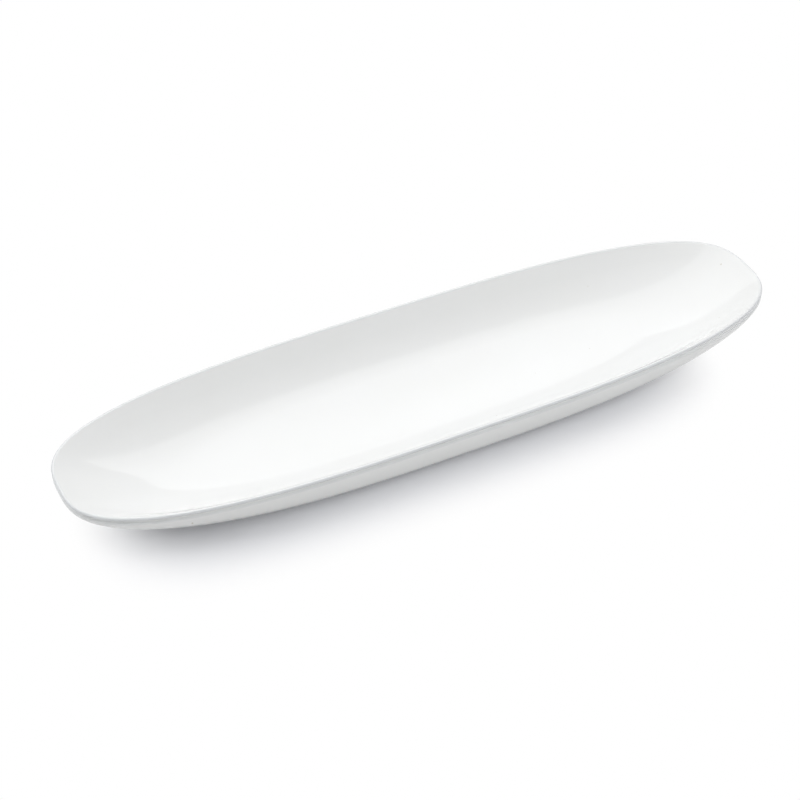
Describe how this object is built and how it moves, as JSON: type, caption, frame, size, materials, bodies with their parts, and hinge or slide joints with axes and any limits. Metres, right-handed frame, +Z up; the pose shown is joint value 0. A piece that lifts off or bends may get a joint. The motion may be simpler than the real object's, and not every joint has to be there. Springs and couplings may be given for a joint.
{
  "type": "asparagus plate",
  "caption": "Long, narrow boat-shaped serving dish of white glazed porcelain with a rounded rim and a low foot ring, for whole spears.",
  "frame": {"origin": "on the table, under the middle of the dish", "axes": "+X along the dish, +Y across it, +Z up out of the well"},
  "size_m": [0.42, 0.113, 0.027],
  "materials": {
    "porcelain": "clear gloss glaze on white porcelain, bare where the foot ring meets the table"
  },
  "bodies": {
    "root": {"plate": "porcelain"}
  },
  "joints": []
}
